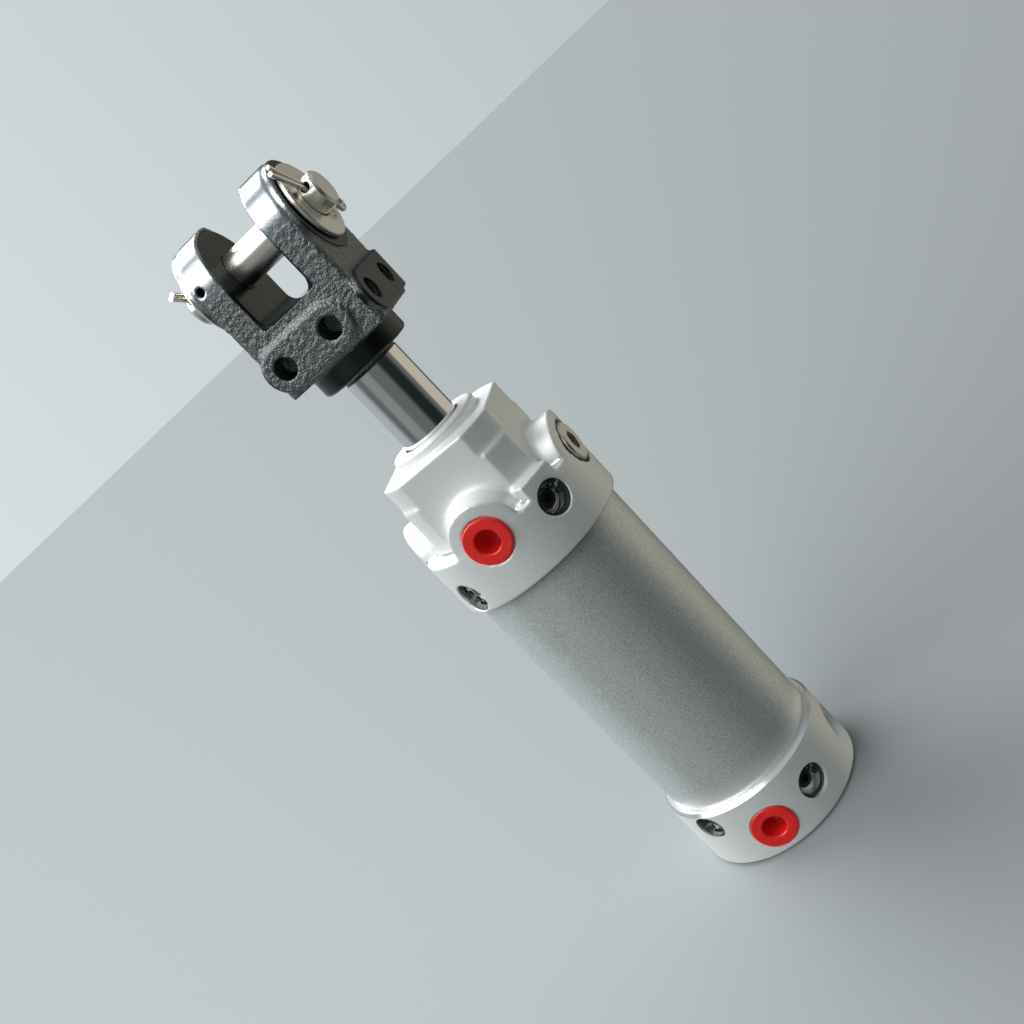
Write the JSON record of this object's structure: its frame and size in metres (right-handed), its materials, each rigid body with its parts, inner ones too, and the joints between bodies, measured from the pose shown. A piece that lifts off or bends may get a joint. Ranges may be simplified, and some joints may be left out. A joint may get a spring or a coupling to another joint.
{
  "type": "pneumatic clamp cylinder",
  "caption": "Round air cylinder with cushion needles and plugged ports, a chromed rod and a black fork clevis that takes a pinned clamp arm.",
  "frame": {"origin": "centre of the end cap's flat bottom face, on the cylinder axis", "axes": "+Z along the cylinder axis towards the rod end; -Y out of the rod cover's working port; X along the clevis pin"},
  "size_m": [0.0614, 0.0619, 0.2607],
  "materials": {
    "anodised_tube": "satin clear anodised, finely blasted",
    "cast_aluminium": "bead-blasted die casting",
    "machined_aluminium": "satin machined and anodised, bright rim",
    "hard_chrome": "ground hard chrome",
    "black_casting": "black coated casting with machined pads",
    "zinc_steel": "bright zinc plate",
    "wire_steel": "bright wire and spring steel",
    "nickel_steel": "nickel plated, turned face",
    "black_oxide": "black oxide",
    "red_plastic": "soft glossy polyethylene",
    "seal_rubber": "nitrile rubber",
    "bearing_bronze": "sintered bronze",
    "piston_aluminium": "turned",
    "wear_resin": "filled resin",
    "magnet_rubber": "bonded ferrite"
  },
  "bodies": {
    "barrel": {"tube": "anodised_tube", "rod_cover": "cast_aluminium", "end_cap": "machined_aluminium", "front_tube_gasket": "seal_rubber", "rear_tube_gasket": "seal_rubber", "front_cushion_seal": "seal_rubber", "rear_cushion_seal": "seal_rubber", "rod_bush": "bearing_bronze", "rod_seal": "seal_rubber", "rod_wiper": "seal_rubber", "front_check_valve": "wire_steel", "rear_check_valve": "wire_steel", "retaining_rings": "black_oxide", "front_hex_plug": "nickel_steel", "rear_hex_plug": "nickel_steel", "front_hex_plug_seal": "seal_rubber"},
    "piston_seals": {"piston_seal": "seal_rubber", "wear_ring": "wear_resin"},
    "rod": {"piston_rod": "hard_chrome", "piston_rear_half": "piston_aluminium", "piston_front_half": "piston_aluminium", "piston_magnet": "magnet_rubber", "rod_oring": "seal_rubber", "front_cushion_ring": "piston_aluminium", "rear_cushion_ring": "piston_aluminium", "piston_nut": "zinc_steel", "clevis": "black_casting", "clevis_spring_pin": "zinc_steel"},
    "fork_pin": {"clevis_pin": "zinc_steel", "pin_washers": "zinc_steel", "split_pin_right": "wire_steel", "split_pin_left": "wire_steel"},
    "front_needle_seal": {"front_cushion_needle_oring": "seal_rubber"},
    "front_needle": {"front_cushion_needle": "black_oxide"},
    "rear_needle_seal": {"rear_cushion_needle_oring": "seal_rubber"},
    "rear_needle": {"rear_cushion_needle": "black_oxide"},
    "front_plug": {"front_port_plug": "red_plastic"},
    "rear_plug": {"rear_port_plug": "red_plastic"}
  },
  "joints": [
    {"name": "rod_slide", "type": "slide", "parent": "barrel", "child": "piston_seals", "axis": [0, 0, 1], "range_m": [-0.02, 0.03]},
    {"name": "rod_turn", "type": "hinge", "parent": "piston_seals", "child": "rod", "pos_m": [0, 0, 0.0678], "axis": [0, 0, 1], "continuous": true},
    {"name": "fork_pin_turn", "type": "hinge", "parent": "rod", "child": "fork_pin", "pos_m": [0, 0, 0.2447], "axis": [1, 0, 0], "continuous": true},
    {"name": "front_plug_pull", "type": "slide", "parent": "barrel", "child": "front_plug", "axis": [0, -1, 0], "range_m": [0, 0.02]},
    {"name": "rear_plug_pull", "type": "slide", "parent": "barrel", "child": "rear_plug", "axis": [0.0645, -0.9979, 0], "range_m": [0, 0.02]},
    {"name": "front_needle_feed", "type": "slide", "parent": "barrel", "child": "front_needle_seal", "axis": [0.6984, -0.7157, 0], "range_m": [-0.00112, 0.00112]},
    {"name": "front_needle_turn", "type": "hinge", "parent": "front_needle_seal", "child": "front_needle", "pos_m": [0.01606, -0.01646, 0.1374], "axis": [0.6984, -0.7157, 0], "range_deg": [-540, 540]},
    {"name": "rear_needle_feed", "type": "slide", "parent": "barrel", "child": "rear_needle_seal", "axis": [0.6455, -0.7638, 0], "range_m": [-0.00112, 0.00112]},
    {"name": "rear_needle_turn", "type": "hinge", "parent": "rear_needle_seal", "child": "rear_needle", "pos_m": [0.01485, -0.01757, 0.0124], "axis": [0.6455, -0.7638, 0], "range_deg": [-540, 540]}
  ],
  "couplings": [
    {"joint": "front_needle_turn", "follows": "front_needle_feed", "rad_per_m": 8377.6},
    {"joint": "rear_needle_turn", "follows": "rear_needle_feed", "rad_per_m": 8377.6}
  ]
}
